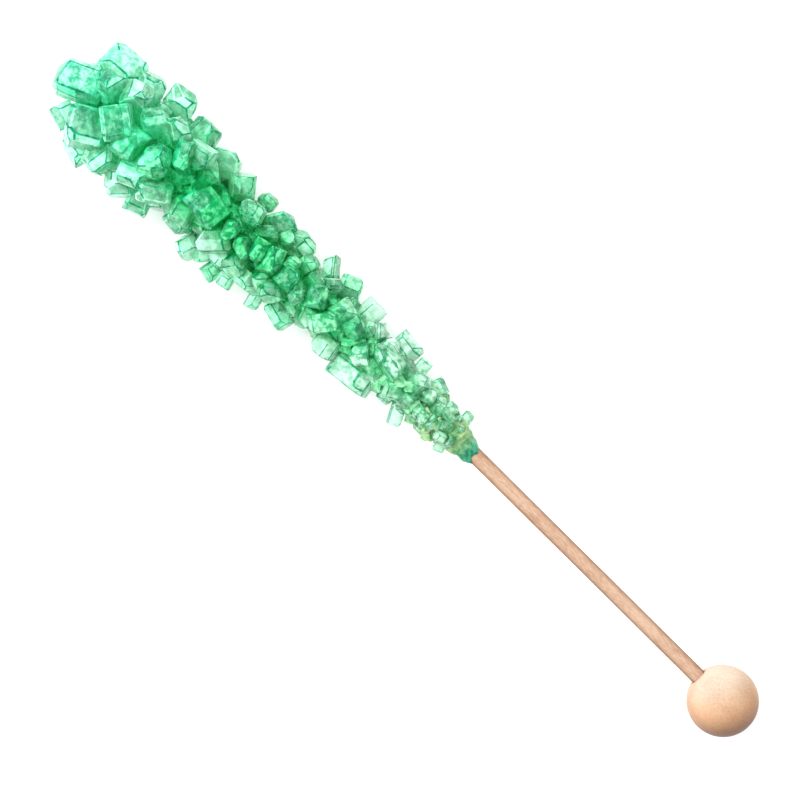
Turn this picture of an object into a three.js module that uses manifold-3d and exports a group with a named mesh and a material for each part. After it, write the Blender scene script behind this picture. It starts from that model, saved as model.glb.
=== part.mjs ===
// A rock candy stick: green sugar crystals grown round one end of a wooden dowel, with a turned
// wooden knob pushed on the other end. It lies on a table as it does when it is put down: the
// knob's side and the fat end of the candy touch the table, and the dowel between them is clear.
// Units are millimetres, +Z is up, the dowel runs along X with the knob towards +X, and the
// origin is on the table under the middle of the whole.
import * as THREE from 'three';
import { mergeVertices } from 'three/addons/utils/BufferGeometryUtils.js';
import Module from 'manifold-3d';

const wasm = await Module();
wasm.setup();

// ---- driving dimensions ----------------------------------------------------------------------

const OVERALL_LENGTH = 177;
const KNOB_DIAMETER = 13.4;
const DOWEL_DIAMETER = 3;
const CANDY_LENGTH = 106;
const DOWEL_END_TO_TIP = 14;      // the candy grows on past the dowel's end by this much
const DOWEL_IN_KNOB = 8;
const FIT_GAP = 0.3;              // between the dowel and the bores that it runs in
const KNOB_FLAT_DEPTH = 0.12;     // how far the spot that the knob rests on is flattened
const KNOB_LAND_WIDTH = 0.35;     // flat ring round the mouth of the knob's bore
const THIN_WALL = 0.2;            // of the candy's collar where it ends on the dowel
const BORE_OVERRUN = 1;           // the bore's cutter goes on past the candy's end by this much
const REST_TILT = THREE.MathUtils.degToRad(1.25);  // the candy is fatter than the knob

// ---- the stick's own frame: the dowel's centre line is X, and the whole is centred on 0 -------

const KNOB_RADIUS = KNOB_DIAMETER / 2;
const DOWEL_RADIUS = DOWEL_DIAMETER / 2;
const BORE_RADIUS = DOWEL_RADIUS + FIT_GAP;
const KNOB_X = OVERALL_LENGTH / 2 - KNOB_RADIUS;
const TIP_X = -OVERALL_LENGTH / 2;
const BASE_X = TIP_X + CANDY_LENGTH;
const DOWEL_START_X = TIP_X + DOWEL_END_TO_TIP;
const DOWEL_END_X = KNOB_X - KNOB_RADIUS + DOWEL_IN_KNOB;

// The candy's body: at each distance from its tip, how far most crystals reach out from the
// body's own centre line, and how far that line has drifted sideways from the dowel's.
const BODY = [
  { fromTip: 0, reach: 0, drift: -2.4 },
  { fromTip: 2.5, reach: 3.8, drift: -2.6 },
  { fromTip: 6, reach: 6.8, drift: -2.4 },
  { fromTip: 14, reach: 9.7, drift: -2.0 },
  { fromTip: 23, reach: 10.4, drift: -1.9 },
  { fromTip: 34, reach: 9.1, drift: -1.5 },
  { fromTip: 46, reach: 8.3, drift: -1.3 },
  { fromTip: 61, reach: 7.1, drift: -0.7 },
  { fromTip: 79, reach: 5.8, drift: -0.2 },
  { fromTip: 92, reach: 5.0, drift: 0 },
  { fromTip: 98, reach: 4.4, drift: -0.1 },
  { fromTip: 102, reach: 2.8, drift: -0.2 },
  { fromTip: CANDY_LENGTH, reach: BORE_RADIUS + THIN_WALL, drift: 0 },
];

// The crystals get smaller towards the knob.
const CRYSTAL_SIZE = [
  { fromTip: 0, size: 6.8 },
  { fromTip: 28, size: 5.8 },
  { fromTip: 58, size: 4.6 },
  { fromTip: 88, size: 3.4 },
  { fromTip: 97, size: 2.4 },
  { fromTip: CANDY_LENGTH, size: 1.6 },
];

// Crystals that stand out from the rest: where each one's middle is along the dowel (x, from the
// middle of the whole) and beside it (y), its length and width, and its turn in plan.
const KEY_CRYSTALS = [
  // x, y, length, width, turn in degrees
  // round the tip
  [-82.6, -2.3, 9.6, 7.2, 26],
  [-79.4, 5.2, 8.2, 7.4, 3],
  [-75.6, -7.3, 8.4, 7.6, 32],
  [-80.8, -8.8, 4.8, 4.4, -18],
  [-74.9, -11.0, 6.0, 4.8, -14],
  [-70.3, -9.6, 4.6, 6.4, -12],
  // along the side towards +Y
  [-73.0, 5.6, 5.6, 6.0, 18],
  [-67.2, 7.9, 6.2, 5.9, 12],
  [-60.3, 6.6, 5.8, 5.3, 8],
  [-53.6, 5.7, 6.2, 5.5, 28],
  [-48.0, 4.9, 4.7, 5.1, 40],
  [-43.2, 6.2, 3.8, 2.8, 4],
  [-38.4, 4.8, 5.0, 6.3, -32],
  [-33.1, 4.7, 5.4, 5.4, -6],
  [-26.0, 5.8, 2.3, 5.4, 42],
  [-21.0, 5.5, 4.6, 4.5, 22],
  [-15.3, 4.6, 4.8, 5.4, -4],
  [-11.6, 3.8, 2.2, 3.4, 42],
  [-5.9, 5.1, 5.8, 5.0, -6],
  [-1.3, 4.3, 2.8, 4.0, 4],
  [3.3, 3.8, 3.4, 4.0, -20],
  [7.6, 2.9, 2.6, 3.2, -32],
  [11.2, 3.6, 1.9, 2.8, 8],
  // along the side towards -Y
  [-65.0, -10.4, 5.4, 5.2, 42],
  [-60.1, -10.3, 5.0, 5.2, 20],
  [-58.6, -7.0, 7.0, 4.6, 34],
  [-52.3, -8.6, 4.4, 2.5, -5],
  [-48.0, -9.9, 4.4, 4.5, -17],
  [-45.0, -8.0, 4.6, 5.4, -38],
  [-41.4, -10.1, 3.3, 3.4, -12],
  [-38.6, -9.5, 3.2, 3.0, 14],
  [-35.6, -6.6, 6.6, 3.6, 6],
  [-32.1, -8.5, 2.6, 3.3, 14],
  [-27.0, -7.0, 5.4, 3.4, -14],
  [-17.3, -5.0, 5.4, 4.2, 6],
  [-10.0, -5.0, 9.2, 5.8, 8],
  [1.4, -5.0, 3.0, 4.2, 26],
  [11.2, -3.5, 2.2, 2.0, 20],
  // facing up
  [-72.0, -2.8, 6.8, 6.0, -38],
  [-57.3, 3.2, 5.4, 5.0, 12],
  [-49.8, -2.1, 7.8, 6.0, -6],
  [-43.3, 2.5, 4.6, 4.4, 20],
  [-37.6, -1.2, 3.0, 4.6, 15],
  [-31.8, 1.4, 3.3, 3.0, 4],
  [-24.5, 0.0, 5.0, 4.6, 30],
  [-5.9, 0.8, 6.0, 4.2, -8],
  [7.0, -1.3, 3.3, 2.8, -12],
];

const KEY_DEPTH = [0.7, 0.95];    // thickness of a key crystal, in its length and width's mean
const KEY_SUNK = 0.42;            // its middle lies this far inside the body, in thicknesses
const KEY_CLEARANCE = 0.6;        // a crystal this close to a key crystal, in sizes, is left out
const KEY_LEAN = THREE.MathUtils.degToRad(30);

// All the others stand in rings round the body. Lengths and spacings are in crystal sizes.
const FIRST_RING = 4;             // from the tip to the first ring, in millimetres
const LAST_RING = 4;              // from the last ring to the candy's end, in millimetres
const RING_SPACING = 0.86;
const NEIGHBOUR_SPACING = 0.92;
const FEWEST_IN_RING = 3;
const ANGLE_JITTER = 0.3;         // in the angle between neighbours
const RING_JITTER = 0.25;
const SIZE_SPREAD = [0.72, 1.25];
const LENGTH_SPREAD = [0.9, 1.2];
const WIDTH_SPREAD = [0.75, 1.05];
const HEIGHT_SPREAD = [0.85, 1.1];
const REACH_SPREAD = [0.8, 1];    // how much of the body's reach a crystal takes up
const MORE_REACH_UP_AND_DOWN = 0.2;  // crystals over and under the dowel may reach further
const MOST_LEAN = THREE.MathUtils.degToRad(34);
const MOST_SLANT = 0.16;          // sugar's crystals lean over: their ends aren't square
const PUSH_IN_PASSES = 3;
const SLOPE_STEP = 1;             // the body's slope is taken this far to either side
const SEED = 14;

// The edges of a block that a crystal's side faces cut off, and how likely each kind is. The
// first four run along the block's height, and the others along its length and width.
const CUT_KINDS = [
  { normal: [1, 1, 0], chance: 0.5 },
  { normal: [1, -1, 0], chance: 0.5 },
  { normal: [-1, 1, 0], chance: 0.5 },
  { normal: [-1, -1, 0], chance: 0.5 },
  { normal: [1, 0, 1], chance: 0.8 },
  { normal: [-1, 0, 1], chance: 0.8 },
  { normal: [0, 1, 1], chance: 0.8 },
  { normal: [0, -1, 1], chance: 0.8 },
];
const CUT_SHARE = [0.15, 0.6];     // how deep a cut goes, as a share of the block's half size
const CUT_SKEW = 0.25;            // how far a cut's slope strays from 45 degrees

const CORE_SUNK = 0.62;           // the core's surface lies this far inside, in crystal sizes
const COLLAR_LENGTH = 5.5;        // of bare set sugar round the dowel where the candy ends

const KNOB_SIDES = 32;
const DOWEL_SIDES = 24;
const CORE_SIDES = 12;
const MERGED_DETAIL = 0.02;       // edges of the joined candy shorter than this are taken out

// ---- small helpers ---------------------------------------------------------------------------

// A repeatable stream of random numbers from 0 to 1.
function randomStream(seed) {
  let state = seed;
  return () => {
    state = (state * 1664525 + 1013904223) % 4294967296;
    return state / 4294967296;
  };
}

const between = (low, high, share) => low + (high - low) * share;
const spread = ([low, high], random) => between(low, high, random());
const jitter = (most, random) => between(-most, most, random());
const ascending = (a, b) => a - b;

// The value named key at a distance from the tip, on straight lines between a table's rows.
function along(table, key, fromTip) {
  const next = table.findIndex((row) => row.fromTip > fromTip);
  if (next < 0) return table[table.length - 1][key];
  if (next === 0) return table[0][key];
  const [before, after] = [table[next - 1], table[next]];
  const share = (fromTip - before.fromTip) / (after.fromTip - before.fromTip);
  return between(before[key], after[key], share);
}

function solidOf(geometry) {
  const bare = geometry.clone();
  bare.deleteAttribute('normal');
  bare.deleteAttribute('uv');
  const merged = mergeVertices(bare, 1e-4);
  return new wasm.Manifold(new wasm.Mesh({
    numProp: 3,
    vertProperties: new Float32Array(merged.attributes.position.array),
    triVerts: new Uint32Array(merged.index.array),
  }));
}

function geometryOf(solid) {
  const mesh = solid.getMesh();
  const geometry = new THREE.BufferGeometry();
  geometry.setAttribute('position', new THREE.BufferAttribute(mesh.vertProperties, 3));
  geometry.setIndex(new THREE.BufferAttribute(mesh.triVerts, 1));
  geometry.computeVertexNormals();
  return geometry;
}

// A LatheGeometry turned so that its axis is X. Profile points are [x, radius].
function turned(profile, sides) {
  const points = profile.map(([x, radius]) => new THREE.Vector2(radius, x));
  return new THREE.LatheGeometry(points, sides).rotateZ(-Math.PI / 2);
}

const rod = (startX, endX, radius) => turned([
  [startX, 0], [startX, radius], [endX, radius], [endX, 0],
], DOWEL_SIDES);

const UP = new THREE.Vector3(0, 0, 1);

const aboutZ = (angle) => new THREE.Quaternion().setFromAxisAngle(UP, angle);

// A tilt of up to the given angle, away from +Z to any side.
function lean(mostAngle, random) {
  const towards = 2 * Math.PI * random();
  const axis = new THREE.Vector3(Math.cos(towards), Math.sin(towards), 0);
  return new THREE.Quaternion().setFromAxisAngle(axis, mostAngle * random());
}

// ---- the table, seen from the stick's frame --------------------------------------------------

const TABLE_UP = new THREE.Vector3(-Math.sin(REST_TILT), 0, Math.cos(REST_TILT));
const TABLE_OFFSET = KNOB_X * TABLE_UP.x - (KNOB_RADIUS - KNOB_FLAT_DEPTH);

const heightAboveTable = (point) => point.dot(TABLE_UP) - TABLE_OFFSET;

// ---- wood ------------------------------------------------------------------------------------

const dowel = () => rod(DOWEL_START_X, DOWEL_END_X, DOWEL_RADIUS);

// The knob is a ball with a blind bore for the dowel and a narrow flat land round its mouth.
function knob() {
  const boreEnd = DOWEL_END_X + FIT_GAP;
  const landRadius = BORE_RADIUS + KNOB_LAND_WIDTH;
  const landAngle = Math.asin(landRadius / KNOB_RADIUS);
  const mouthX = KNOB_X - KNOB_RADIUS * Math.cos(landAngle);
  const profile = [[boreEnd, 0], [boreEnd, BORE_RADIUS], [mouthX, BORE_RADIUS]];
  const steps = KNOB_SIDES / 2;
  for (let step = 0; step <= steps; step++) {
    const angle = between(landAngle, Math.PI, step / steps);
    const radius = step === steps ? 0 : KNOB_RADIUS * Math.sin(angle);
    profile.push([KNOB_X - KNOB_RADIUS * Math.cos(angle), radius]);
  }
  const ball = solidOf(turned(profile, KNOB_SIDES));
  return geometryOf(ball.trimByPlane(TABLE_UP.toArray(), TABLE_OFFSET));
}

// ---- candy -----------------------------------------------------------------------------------

const bodyAt = (x) => ({
  reach: along(BODY, 'reach', x - TIP_X),
  drift: along(BODY, 'drift', x - TIP_X),
});

const crystalSizeAt = (x) => along(CRYSTAL_SIZE, 'size', x - TIP_X);

// The direction that the body's surface faces at x, at an angle round the dowel from +Y to +Z.
function outwardAt(x, angle) {
  const rise = bodyAt(x + SLOPE_STEP).reach - bodyAt(x - SLOPE_STEP).reach;
  const slope = rise / (2 * SLOPE_STEP);
  return new THREE.Vector3(-slope, Math.cos(angle), Math.sin(angle)).normalize();
}

// The planes that cut a crystal out of a block, given in the block's own axes.
function drawCuts(half, random) {
  const cuts = [];
  for (const { normal, chance } of CUT_KINDS) {
    const taken = random() < chance;
    const share = spread(CUT_SHARE, random);
    const skew = 1 + jitter(CUT_SKEW, random);
    if (!taken) continue;
    const facing = new THREE.Vector3(normal[0] * skew, normal[1], normal[2] / skew).normalize();
    const corner = Math.abs(facing.x) * half.x + Math.abs(facing.y) * half.y
      + Math.abs(facing.z) * half.z;
    cuts.push({ facing, distance: corner - share * Math.min(half.x, half.y, half.z) });
  }
  return cuts;
}

function crystalSolid(crystal) {
  const { half, cuts, slant, turn, middle } = crystal;
  let solid = solidOf(new THREE.BoxGeometry(2 * half.x, 2 * half.y, 2 * half.z));
  for (const { facing, distance } of cuts) {
    solid = solid.trimByPlane([-facing.x, -facing.y, -facing.z], -distance);
  }
  const shear = new THREE.Matrix4().makeShear(0, 0, 0, 0, slant, 0);
  const placed = new THREE.Matrix4().makeRotationFromQuaternion(turn).multiply(shear);
  placed.setPosition(middle);
  return solid.transform(placed.elements);
}

function cornersOf(crystal) {
  const { vertProperties: at, numVert, numProp } = crystalSolid(crystal).getMesh();
  const corners = [];
  for (let i = 0; i < numVert; i++) {
    corners.push(new THREE.Vector3().fromArray(at, i * numProp));
  }
  return corners;
}

// Moves a crystal in until no corner of it stands out further than its share of the reach.
function pushIn(crystal, outward, share) {
  for (let pass = 0; pass < PUSH_IN_PASSES; pass++) {
    const excess = cornersOf(crystal).map((corner) => {
      const { reach, drift } = bodyAt(corner.x);
      return Math.hypot(corner.y - drift, corner.z) - share * reach;
    });
    crystal.middle.addScaledVector(outward, -Math.max(...excess));
  }
}

// Moves a crystal that would dip into the table up until it just rests there.
function liftOffTable(crystal) {
  const lowest = Math.min(...cornersOf(crystal).map(heightAboveTable));
  if (lowest < 0) crystal.middle.addScaledVector(TABLE_UP, -lowest);
}

// A key crystal lies on the body's upper half with its broad side up, or at the body's edge
// where its middle is further out than the body.
function keyCrystal([x, y, length, width, turnDegrees], random) {
  const { reach, drift } = bodyAt(x);
  const depth = (length + width) / 2 * spread(KEY_DEPTH, random);
  const radius = reach - KEY_SUNK * depth;
  const beside = y - drift;
  const z = Math.sqrt(Math.max(radius * radius - beside * beside, 0));
  const half = new THREE.Vector3(length / 2, width / 2, depth / 2);
  const cuts = drawCuts(half, random);
  const turn = lean(KEY_LEAN, random).multiply(aboutZ(THREE.MathUtils.degToRad(turnDegrees)));
  const crystal = { half, cuts, slant: 0, turn, middle: new THREE.Vector3(x, y, z) };
  liftOffTable(crystal);
  return crystal;
}

// A crystal of a ring stands on the body's surface, leaning and turned at random.
function ringCrystal(x, angle, random) {
  const size = crystalSizeAt(x) * spread(SIZE_SPREAD, random);
  const half = new THREE.Vector3(
    size / 2 * spread(LENGTH_SPREAD, random),
    size / 2 * spread(WIDTH_SPREAD, random),
    size / 2 * spread(HEIGHT_SPREAD, random),
  );
  const cuts = drawCuts(half, random);
  const outward = outwardAt(x, angle);
  const stand = new THREE.Quaternion().setFromUnitVectors(UP, outward);
  const turn = stand.multiply(lean(MOST_LEAN, random)).multiply(aboutZ(2 * Math.PI * random()));
  const slant = jitter(MOST_SLANT, random);
  const more = 1 + MORE_REACH_UP_AND_DOWN * Math.sin(angle) ** 2;
  const share = more * spread(REACH_SPREAD, random);
  const { reach, drift } = bodyAt(x);
  const middle = new THREE.Vector3(x, drift + reach * Math.cos(angle), reach * Math.sin(angle));
  const crystal = { half, cuts, slant, turn, middle };
  pushIn(crystal, outward, share);
  liftOffTable(crystal);
  return crystal;
}

const sizeOf = ({ half }) => (half.x + half.y + half.z) * 2 / 3;

function growCrystals() {
  const random = randomStream(SEED);
  const crystals = KEY_CRYSTALS.map((row) => keyCrystal(row, random));
  const keys = crystals.length;
  let ring = 0;
  for (let x = TIP_X + FIRST_RING; x < BASE_X - LAST_RING; ring++) {
    const size = crystalSizeAt(x);
    const girth = 2 * Math.PI * Math.max(bodyAt(x).reach - size / 2, size / 2);
    const count = Math.max(FEWEST_IN_RING, Math.round(girth / (NEIGHBOUR_SPACING * size)));
    for (let i = 0; i < count; i++) {
      const angle = 2 * Math.PI * (i + ring / 2 + jitter(ANGLE_JITTER, random)) / count;
      const crystal = ringCrystal(x + size * jitter(RING_JITTER, random), angle, random);
      const hidden = crystals.slice(0, keys).some((key) => key.middle.distanceTo(crystal.middle)
        < KEY_CLEARANCE * (sizeOf(key) + sizeOf(crystal)) / 2);
      if (!hidden) crystals.push(crystal);
    }
    x += RING_SPACING * size;
  }
  return crystals;
}

// What the crystals grow out of: sugar that has set round the dowel, ending in a thin collar.
function core() {
  const startX = TIP_X + FIRST_RING;
  const collarX = BASE_X - COLLAR_LENGTH;
  const rowsX = BODY.map((row) => TIP_X + row.fromTip).filter((x) => x > startX);
  const profile = [[startX, 0]];
  for (const x of [...rowsX, collarX].sort(ascending)) {
    const sunk = x < collarX ? CORE_SUNK * crystalSizeAt(x) : 0;
    profile.push([x, bodyAt(x).reach - sunk]);
  }
  profile.push([BASE_X, 0]);
  const geometry = turned(profile, CORE_SIDES);
  const position = geometry.attributes.position;
  for (let i = 0; i < position.count; i++) {
    position.setY(i, position.getY(i) + bodyAt(position.getX(i)).drift);
  }
  return solidOf(geometry);
}

function candy() {
  const pieces = [core(), ...growCrystals().map(crystalSolid)];
  const bore = solidOf(rod(DOWEL_START_X - FIT_GAP, BASE_X + BORE_OVERRUN, BORE_RADIUS));
  const joined = wasm.Manifold.union(pieces).subtract(bore).simplify(MERGED_DETAIL);
  // Crystals can seal small hollows between them. Only the outer skin is kept.
  const skins = joined.decompose();
  const outer = skins.reduce((best, skin) => (skin.volume() > best.volume() ? skin : best));
  return geometryOf(outer);
}

// ---- the part --------------------------------------------------------------------------------

const WOOD = { color: 0xe3bd97, roughness: 0.75, metalness: 0 };
const SUGAR = { color: 0x5fc48c, roughness: 0.25, metalness: 0, transparent: true, opacity: 0.9 };

function part(name, geometry, look) {
  const mesh = new THREE.Mesh(geometry, new THREE.MeshStandardMaterial(look));
  mesh.name = name;
  return mesh;
}

const stick = new THREE.Group();
stick.add(part('dowel', dowel(), WOOD));
stick.add(part('knob', knob(), WOOD));
stick.add(part('candy', candy(), SUGAR));
stick.rotation.y = REST_TILT;

const rockCandyStick = new THREE.Group();
rockCandyStick.add(stick);
const bounds = new THREE.Box3().setFromObject(rockCandyStick, true);
stick.position.set(
  -(bounds.min.x + bounds.max.x) / 2, -(bounds.min.y + bounds.max.y) / 2, -bounds.min.z,
);

export default rockCandyStick;
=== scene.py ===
"""A rock candy stick: green sugar crystals on a wooden dowel with a turned wooden knob, lying on a
pale table. The shapes are worked out in millimetres in the stick's own frame, where the dowel's
centre line is X, the knob is towards +X and +Z is up before the stick is laid down."""

import math
from collections import Counter

import bmesh
import bpy
from mathutils import Matrix, Quaternion, Vector, noise
from mathutils.kdtree import KDTree


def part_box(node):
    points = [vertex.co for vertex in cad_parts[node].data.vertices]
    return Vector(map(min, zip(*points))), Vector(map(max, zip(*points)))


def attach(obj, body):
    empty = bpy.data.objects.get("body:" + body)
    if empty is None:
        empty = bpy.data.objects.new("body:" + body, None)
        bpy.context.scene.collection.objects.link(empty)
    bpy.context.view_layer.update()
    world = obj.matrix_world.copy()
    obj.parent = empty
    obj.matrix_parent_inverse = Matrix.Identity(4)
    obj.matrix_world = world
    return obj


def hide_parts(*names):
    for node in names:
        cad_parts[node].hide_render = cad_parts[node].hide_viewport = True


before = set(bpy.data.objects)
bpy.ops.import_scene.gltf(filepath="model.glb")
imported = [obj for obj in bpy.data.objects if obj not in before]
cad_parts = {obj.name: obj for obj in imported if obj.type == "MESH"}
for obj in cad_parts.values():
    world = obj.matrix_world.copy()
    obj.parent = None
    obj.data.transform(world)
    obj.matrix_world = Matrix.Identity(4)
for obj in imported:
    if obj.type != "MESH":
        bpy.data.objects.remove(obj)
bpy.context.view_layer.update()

# ---- driving dimensions, as in the part's source, in millimetres -------------------------------

MM = 0.001
OVERALL_LENGTH = 177
KNOB_DIAMETER = 13.4
DOWEL_DIAMETER = 3
CANDY_LENGTH = 106
DOWEL_END_TO_TIP = 14  # the candy grows on past the dowel's end by this much
DOWEL_IN_KNOB = 8
FIT_GAP = 0.3  # between the dowel's solid and the bores that it runs in
KNOB_FLAT_DEPTH = 0.12  # how far the spot that the knob rests on is flattened
KNOB_LAND_WIDTH = 0.35  # flat ring round the mouth of the knob's bore
THIN_WALL = 0.2  # of the candy's collar where it ends on the dowel
REST_TILT = math.radians(1.25)  # the candy is fatter than the knob

KNOB_RADIUS = KNOB_DIAMETER / 2
DOWEL_RADIUS = DOWEL_DIAMETER / 2
BORE_RADIUS = DOWEL_RADIUS + FIT_GAP
KNOB_X = OVERALL_LENGTH / 2 - KNOB_RADIUS
TIP_X = -OVERALL_LENGTH / 2
BASE_X = TIP_X + CANDY_LENGTH
DOWEL_START_X = TIP_X + DOWEL_END_TO_TIP
DOWEL_END_X = KNOB_X - KNOB_RADIUS + DOWEL_IN_KNOB

# The candy's body, from its tip: (distance, how far most crystals reach out, sideways drift).
BODY = [
    (0, 0, -2.4),
    (2.5, 3.8, -2.6),
    (6, 6.8, -2.4),
    (14, 9.7, -2.0),
    (23, 10.4, -1.9),
    (34, 9.1, -1.5),
    (46, 8.3, -1.3),
    (61, 7.1, -0.7),
    (79, 5.8, -0.2),
    (92, 5.0, 0),
    (98, 4.4, -0.1),
    (102, 2.8, -0.2),
    (CANDY_LENGTH, BORE_RADIUS + THIN_WALL, 0),
]
# The crystals get smaller towards the knob: (distance from the tip, size).
CRYSTAL_SIZE = [(0, 6.8), (28, 5.8), (58, 4.6), (88, 3.4), (97, 2.4), (CANDY_LENGTH, 1.6)]

# Crystals that stand out: middle along and beside the dowel, length, width, turn in degrees.
KEY_CRYSTALS = [
    # round the tip
    (-82.6, -2.3, 9.6, 7.2, 26),
    (-79.4, 5.2, 8.2, 7.4, 3),
    (-75.6, -7.3, 8.4, 7.6, 32),
    (-80.8, -8.8, 4.8, 4.4, -18),
    (-74.9, -11.0, 6.0, 4.8, -14),
    (-70.3, -9.6, 4.6, 6.4, -12),
    # along the side towards +Y
    (-73.0, 5.6, 5.6, 6.0, 18),
    (-67.2, 7.9, 6.2, 5.9, 12),
    (-60.3, 6.6, 5.8, 5.3, 8),
    (-53.6, 5.7, 6.2, 5.5, 28),
    (-48.0, 4.9, 4.7, 5.1, 40),
    (-43.2, 6.2, 3.8, 2.8, 4),
    (-38.4, 4.8, 5.0, 6.3, -32),
    (-33.1, 4.7, 5.4, 5.4, -6),
    (-26.0, 5.8, 2.3, 5.4, 42),
    (-21.0, 5.5, 4.6, 4.5, 22),
    (-15.3, 4.6, 4.8, 5.4, -4),
    (-11.6, 3.8, 2.2, 3.4, 42),
    (-5.9, 5.1, 5.8, 5.0, -6),
    (-1.3, 4.3, 2.8, 4.0, 4),
    (3.3, 3.8, 3.4, 4.0, -20),
    (7.6, 2.9, 2.6, 3.2, -32),
    (11.2, 3.6, 1.9, 2.8, 8),
    # along the side towards -Y
    (-65.0, -10.4, 5.4, 5.2, 42),
    (-60.1, -10.3, 5.0, 5.2, 20),
    (-58.6, -7.0, 7.0, 4.6, 34),
    (-52.3, -8.6, 4.4, 2.5, -5),
    (-48.0, -9.9, 4.4, 4.5, -17),
    (-45.0, -8.0, 4.6, 5.4, -38),
    (-41.4, -10.1, 3.3, 3.4, -12),
    (-38.6, -9.5, 3.2, 3.0, 14),
    (-35.6, -6.6, 6.6, 3.6, 6),
    (-32.1, -8.5, 2.6, 3.3, 14),
    (-27.0, -7.0, 5.4, 3.4, -14),
    (-17.3, -5.0, 5.4, 4.2, 6),
    (-10.0, -5.0, 9.2, 5.8, 8),
    (1.4, -5.0, 3.0, 4.2, 26),
    (11.2, -3.5, 2.2, 2.0, 20),
    # facing up
    (-72.0, -2.8, 6.8, 6.0, -38),
    (-57.3, 3.2, 5.4, 5.0, 12),
    (-49.8, -2.1, 7.8, 6.0, -6),
    (-43.3, 2.5, 4.6, 4.4, 20),
    (-37.6, -1.2, 3.0, 4.6, 15),
    (-31.8, 1.4, 3.3, 3.0, 4),
    (-24.5, 0.0, 5.0, 4.6, 30),
    (-5.9, 0.8, 6.0, 4.2, -8),
    (7.0, -1.3, 3.3, 2.8, -12),
]

KEY_DEPTH = (0.7, 0.95)  # thickness of a key crystal, in its length and width's mean
KEY_SUNK = 0.42  # its middle lies this far inside the body, in thicknesses
KEY_CLEARANCE = 0.6  # a crystal this close to a key crystal, in sizes, is left out
KEY_LEAN = math.radians(30)

# All the others stand in rings round the body. Lengths and spacings are in crystal sizes.
FIRST_RING = 4  # from the tip to the first ring, in millimetres
LAST_RING = 4  # from the last ring to the candy's end, in millimetres
RING_SPACING = 0.86
NEIGHBOUR_SPACING = 0.92
FEWEST_IN_RING = 3
ANGLE_JITTER = 0.3  # in the angle between neighbours
RING_JITTER = 0.25
SIZE_SPREAD = (0.72, 1.25)
LENGTH_SPREAD = (0.9, 1.2)
WIDTH_SPREAD = (0.75, 1.05)
HEIGHT_SPREAD = (0.85, 1.1)
REACH_SPREAD = (0.8, 1)  # how much of the body's reach a crystal takes up
MORE_REACH_UP_AND_DOWN = 0.2  # crystals over and under the dowel may reach further
MOST_LEAN = math.radians(34)
MOST_SLANT = 0.16  # sugar's crystals lean over: their ends aren't square
PUSH_IN_PASSES = 3
SLOPE_STEP = 1  # the body's slope is taken this far to either side
SEED = 14

# The edges of a block that a crystal's side faces cut off: (direction, how likely).
CUT_KINDS = [
    ((1, 1, 0), 0.5),
    ((1, -1, 0), 0.5),
    ((-1, 1, 0), 0.5),
    ((-1, -1, 0), 0.5),
    ((1, 0, 1), 0.8),
    ((-1, 0, 1), 0.8),
    ((0, 1, 1), 0.8),
    ((0, -1, 1), 0.8),
]
CUT_SHARE = (0.15, 0.6)  # how deep a cut goes, as a share of the block's half size
CUT_SKEW = 0.25  # how far a cut's slope strays from 45 degrees

# ---- small helpers -----------------------------------------------------------------------------

UP = Vector((0, 0, 1))
TABLE_UP = Vector((-math.sin(REST_TILT), 0, math.cos(REST_TILT)))
TABLE_OFFSET = KNOB_X * TABLE_UP.x - (KNOB_RADIUS - KNOB_FLAT_DEPTH)


def random_stream(seed):
    """A repeatable stream of random numbers from 0 to 1, the same one as in the part's source."""
    state = seed

    def draw():
        nonlocal state
        state = (state * 1664525 + 1013904223) % 4294967296
        return state / 4294967296

    return draw


def between(low, high, share):
    return low + (high - low) * share


def spread(limits, random):
    return between(*limits, random())


def jitter(most, random):
    return between(-most, most, random())


def smooth_step(low, high, value):
    share = min(max((value - low) / (high - low), 0), 1)
    return share * share * (3 - 2 * share)


def along(table, column, place):
    """A table's column at a place in its first column, on straight lines between its rows."""
    for before, after in zip(table, table[1:]):
        if after[0] > place:
            share = max(0, (place - before[0]) / (after[0] - before[0]))
            return between(before[column], after[column], share)
    return table[-1][column]


def reach_at(x):
    return along(BODY, 1, x - TIP_X)


def drift_at(x):
    return along(BODY, 2, x - TIP_X)


def crystal_size_at(x):
    return along(CRYSTAL_SIZE, 1, x - TIP_X)


def height_above_table(point):
    return point.dot(TABLE_UP) - TABLE_OFFSET


def about_z(angle):
    return Quaternion(UP, angle)


def lean(most_angle, random):
    """A tilt of up to the given angle, away from +Z to any side."""
    towards = 2 * math.pi * random()
    axis = Vector((math.cos(towards), math.sin(towards), 0))
    return Quaternion(axis, most_angle * random())


def any_turn(random):
    """A turn that is as likely to be any way round as any other."""
    share, first, second = random(), 2 * math.pi * random(), 2 * math.pi * random()
    long, short = math.sqrt(share), math.sqrt(1 - share)
    return Quaternion((
        short * math.cos(first), short * math.sin(first),
        long * math.cos(second), long * math.sin(second),
    ))


# ---- a crystal: a block with some of its edges cut off -----------------------------------------


def block(half):
    """The corners and faces of a box, as three numbers for half its size say."""
    signs = [(x, y, z) for x in (-1, 1) for y in (-1, 1) for z in (-1, 1)]
    points = [Vector((x * half.x, y * half.y, z * half.z)) for x, y, z in signs]
    faces = [[0, 1, 3, 2], [4, 6, 7, 5], [0, 4, 5, 1], [2, 3, 7, 6], [0, 2, 6, 4], [1, 5, 7, 3]]
    return points, faces


def without_unused(points, faces):
    """Leaves out the points that no face uses."""
    used = sorted({index for face in faces for index in face})
    new = {old: index for index, old in enumerate(used)}
    return [points[index] for index in used], [[new[index] for index in face] for face in faces]


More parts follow.
